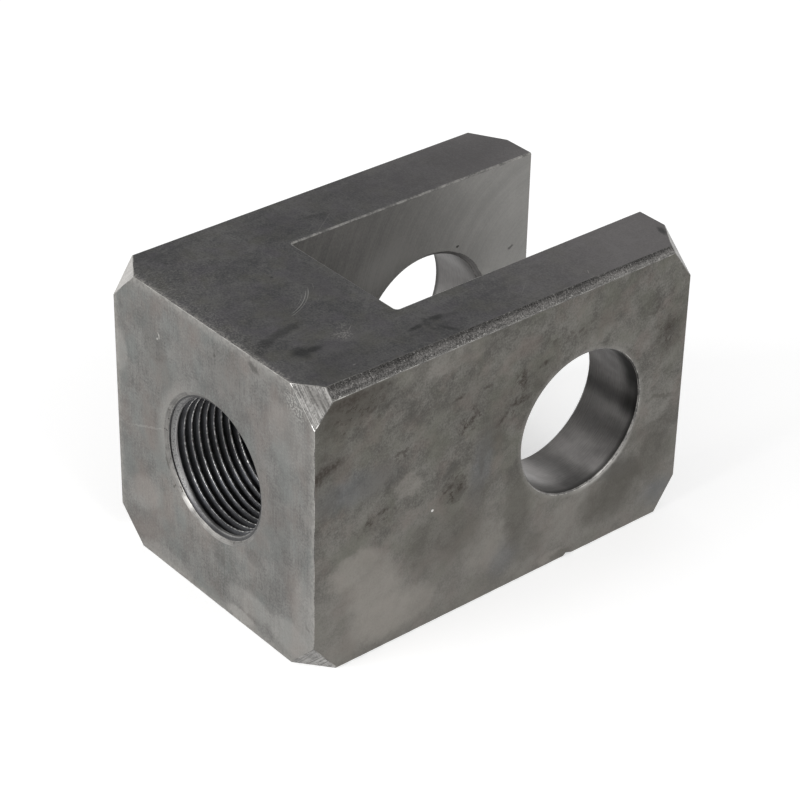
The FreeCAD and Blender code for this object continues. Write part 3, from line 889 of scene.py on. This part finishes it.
def as_triangles(rows, columns):
    """Triangles of a grid of rows by columns of numbered places, two to each cell."""
    number = np.arange(rows * columns).reshape(rows, columns)
    a, b, c, d = number[:-1, :-1], number[:-1, 1:], number[1:, 1:], number[1:, :-1]
    return np.concatenate([np.stack([a, b, c], -1).reshape(-1, 3), np.stack([a, c, d], -1).reshape(-1, 3)])


def new_piece(name, grid, material):
    """A smooth object from a grid of places in mm, with joined seams, which rides on the block."""
    places, faces = joined(grid.reshape(-1, 3) * MM, as_triangles(*grid.shape[:2]), SEAM)
    mesh = bpy.data.meshes.new(name)
    mesh.from_pydata(places.tolist(), [], faces.tolist())
    mesh.polygons.foreach_set("use_smooth", np.ones(len(mesh.polygons), bool))
    mesh.materials.append(material)
    piece = put_in_scene(name, mesh)
    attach(piece, "root")
    return piece


# %% [markdown]
# ## The grain of the rough corner
# The grain is a grid laid over the skin's narrow flat, with a seeded random height at each place, averaged
# with its neighbours so that the lumps are about 0.4 mm across. A Displace modifier would need an image or
# a texture block; an array of heights says the same in a few lines. At its border the grid dips under the
# skin, so no rim shows.

# %% Rough corner
GRAIN_SEED = 7
# In mm: the grid's cells and the lumps' height, how far the grid keeps from the flat's ends and lower side,
# how deep its border and its underside lie below the flat, and over what width the grain fades there.
GRAIN_STEP, GRAIN_HEIGHT = 0.14, 0.05
INSET_END, INSET_SIDE = 0.1, 0.14
SUNK, UNDERSIDE, BORDER = 0.02, 0.06, 0.12


def flat_corners(mesh, finish_of_face):
    """Corners (mm) of the skin's one rough face: along its top edge, then along its side edge, each from
    the threaded end."""
    face = mesh.polygons[int(np.flatnonzero(finish_of_face == FINISHES.index("mill_corner"))[0])]
    places = np.array([mesh.vertices[number].co for number in face.vertices]) / MM
    on_side = places[:, 2] < HIGH[2] - ON_WALL
    return places[np.lexsort((places[:, 1], on_side))].reshape(2, 2, 3)


def smoothed(heights):
    """Each height averaged with its neighbours in both ways of the grid, itself counted twice."""
    for axis in (0, 1):
        heights = (np.roll(heights, 1, axis) + 2 * heights + np.roll(heights, -1, axis)) / 4
    return heights


def rough_grain(flat):
    """A place is the flat's corners blended by the two parameters, raised along the flat's normal by a
    smoothed random height that fades to below the skin near the border. The underside is one line down the
    middle."""
    (top_front, top_back), (side_front, side_back) = flat
    normal = np.cross(top_back - top_front, side_front - top_front)
    normal /= np.linalg.norm(normal)
    length, width = np.linalg.norm(top_back - top_front), np.linalg.norm(side_front - top_front)
    u = np.linspace(0, 1, int(length / GRAIN_STEP))[None, :, None]
    v = np.linspace(0, 1, int(width / GRAIN_STEP) + 2)[:, None, None]
    u = (INSET_END + u * (length - 2 * INSET_END)) / length
    v = v * (width - INSET_SIDE) / width
    places = (1 - v) * ((1 - u) * top_front + u * top_back) + v * ((1 - u) * side_front + u * side_back)
    from_end = np.minimum(u, 1 - u) * length - INSET_END
    from_side = np.minimum(v * width, (1 - v) * width - INSET_SIDE)
    fade = np.clip(np.minimum(from_end, from_side)[..., 0] / BORDER, 0, 1)
    heights = smoothed(np.random.default_rng(GRAIN_SEED).normal(size=fade.shape))
    heights *= GRAIN_HEIGHT / heights.std()
    raised = (fade * (SUNK + GRAIN_HEIGHT / 2 + heights) - SUNK)[..., None] * normal
    under = places.mean(0, keepdims=True) - UNDERSIDE * normal
    tube = np.concatenate([under, places + raised, under])
    ends = np.broadcast_to(under[:, [0, -1]], (len(tube), 2, 3))
    return np.concatenate([ends[:, :1], tube, ends[:, 1:]], axis=1)


corner_grain = rough_grain(flat_corners(skin_mesh, finish_of_face))
print("grain:", measured(new_piece("rough_corner", corner_grain, finishes["mill_corner"]).data))

# %% [markdown]
# ## The rod's thread
# The rod screws into a fine right-hand thread with a 2 mm pitch, cut with a tap in a drilled hole. A Screw
# modifier could sweep a tooth along a helix, but then the countersink at the mouth would need a boolean.
# Here the wall is one surface over two parameters, the angle round the bore and the way along the helix,
# and its radius is whichever is larger: the thread's own profile or the countersink's cone. So the turns
# run out into the cone as cut ones do.

# %% The wall of the thread
PITCH = 2.0
ROOT_R, CREST_R = ROD_R - 0.04, 15.36
CREST_FLAT, ROOT_FLAT = PITCH / 8, PITCH / 8
# How deep (mm) the first crest lies straight along +X from the axis.
CREST_PHASE = 0.922
# Each cone has a radius (mm) at its wide end and narrows by its slope for each mm of depth.
MOUTH_SLOPE = math.tan(math.radians(60))
EXIT_R, EXIT_SLOPE = 16.9, 1.0
LEAD_R, LEAD_SLOPE = 16.0, 0.28
SLEEVE_R = ROD_R + 0.06
ROWS_PER_TURN, STEPS_PER_TURN = 16, 180


def thread_radius(depth, angle):
    """Radius of the wall at a depth from the threaded face and an angle from +X towards +Z. The way along
    the helix is the depth plus a pitch for each turn, so it is the same all along a crest. From a crest's
    middle the radius stays at the crest's, then rises along a straight flank to the root's. There are three
    cones: the countersink's, the slender lead that the first turn is worn to, and the one at the slot."""
    along = depth + PITCH * angle / (2 * np.pi)
    from_crest = np.abs((along - CREST_PHASE + PITCH / 2) % PITCH - PITCH / 2)
    flank = (from_crest - CREST_FLAT / 2) / (PITCH / 2 - CREST_FLAT / 2 - ROOT_FLAT / 2)
    cut = CREST_R + (ROOT_R - CREST_R) * np.clip(flank, 0, 1)
    mouth = np.maximum(MOUTH_R - MOUTH_SLOPE * depth, LEAD_R - LEAD_SLOPE * depth)
    leaving = EXIT_R - EXIT_SLOPE * (SLOT_Y - FACE_Y - depth)
    return np.maximum(cut, np.maximum(mouth, leaving))


def thread_sleeve():
    """The cut wall, closed by a thin shell behind it that lies inside the steel. Rows follow the helix, so
    each crest and root has its own row. Their depths are held between the two rims, where the radius is the
    root's."""
    first = (MOUTH_R - ROOT_R) / MOUTH_SLOPE
    last = SLOT_Y - FACE_Y - (EXIT_R - ROOT_R) / EXIT_SLOPE
    rows = np.arange(int((last - first) / PITCH + 3) * ROWS_PER_TURN) * PITCH / ROWS_PER_TURN
    start = CREST_PHASE - PITCH * math.ceil((CREST_PHASE - first) / PITCH)
    angle = np.linspace(0, 2 * np.pi, STEPS_PER_TURN + 1)
    along = (start + rows)[:, None] + 0 * angle
    depth = np.clip(along - PITCH * angle / (2 * np.pi), first, last)
    radius = thread_radius(depth, angle)
    behind = np.array([last, first, first])[:, None] + 0 * angle
    behind_radius = np.array([SLEEVE_R, SLEEVE_R, ROOT_R])[:, None] + 0 * angle
    depth, radius = np.vstack([depth, behind]), np.vstack([radius, behind_radius])
    return np.stack([radius * np.cos(angle), FACE_Y + depth, radius * np.sin(angle)], -1)


# %% [markdown]
# ## The tapped steel
# The flanks are dark, and the crests carry a painted highlight that shines in dashes. The finish needs
# to know how far from the bore's axis a place is, so bright and dark follow the radius. The first turn is
# worn to an even grey, and a painted shade darkens the groove before it. Low in the bore a painted sheen
# lies on the flanks, and a painted shade over it dims the crests.

# %% The thread's finish
PAINTED_SHEEN = [(-8.6, -13.0, 2.2, 2.0, -30, 0.35)]
SHADED_SIDE = [(-4.5, -15, 7.5, 3.4, -18, 0.75)]
CREST_RAGGED, CREST_EDGE = 0.16, 0.05
GROOVE_END, GROOVE_START = FACE_Y + 1.05, FACE_Y + 0.8
WORN_END, WORN_START, FULL_TURNS = FACE_Y + 2.0, FACE_Y + 1.6, FACE_Y + 3.0
tapped = Finish("tapped_steel")
chips, clouds = tapped.grey(0.35, detail=3), tapped.grey((6, 12, 6))
tone = tapped.blend((clouds, 1.6), (chips, 0.9))
tapped.base(tone, (51, 51, 53), (79, 80, 83))
# Painted highlight: a sheen on the flanks low in the bore.
tapped.paint(tapped.spots(FRONT, PAINTED_SHEEN, tapped.wander(0.8, 2), soft=0.6), (128, 130, 137))
worn_turn = tapped.towards(1, WORN_END, WORN_START, 0.6)
tapped.paint(tapped.both(worn_turn, tapped.rise(chips, 0.3, 0.5)), (146, 145, 143))
# Painted shade in the groove before the first turn.
tapped.paint(tapped.towards(1, GROOVE_END, GROOVE_START, 0.8), (36, 36, 38))
# Painted shade low in the bore, which also dims the crests there.
shaded_side = tapped.spots(FRONT, SHADED_SIDE, soft=0.6)
tapped.paint(shaded_side, (34, 34, 36))

# %% The crests
lead = tapped.math("MULTIPLY_ADD", tapped.along(1), -LEAD_SLOPE / MM, LEAD_R + LEAD_SLOPE * FACE_Y)
crest_radius = tapped.math("MULTIPLY_ADD", chips, CREST_RAGGED, tapped.either(lead, CREST_R))
below_crest = tapped.math("SUBTRACT", crest_radius, tapped.from_axis(1, ON_AXIS))
crest = tapped.both(tapped.rise(below_crest, 0.0, CREST_EDGE), tapped.math("SUBTRACT", 1.0, shaded_side))
dashes = tapped.both(tapped.patches(0.9, 0.46, 0.6, detail=1), tapped.towards(1, WORN_END, FULL_TURNS))
# Painted highlight: the crests are light, and bright in dashes.
tapped.paint(crest, tapped.mix(dashes, (158, 157, 156), (238, 237, 235)))
tapped.done(tapped.rise(tone, 0, 1, 0.46, 0.32), chips, 0.01)

# %% [markdown]
# ## The thread cut
# The wall goes in as a piece of its own, inside the block's plain bore. Its shading is smooth along the
# helix and breaks at the edges of crest and root, so that light falls on each turn in two clear bands.

# %% Cut the thread
thread = new_piece("rod_thread", thread_sleeve(), finishes["tapped_steel"])
thread.data.set_sharp_from_angle(angle=CREASE)
print("thread:", measured(thread.data))

# %% [markdown]
# ## The view transform
# Colours go to the screen through the Standard view transform.

# %% The view transform
bpy.context.scene.view_settings.view_transform = "Standard"
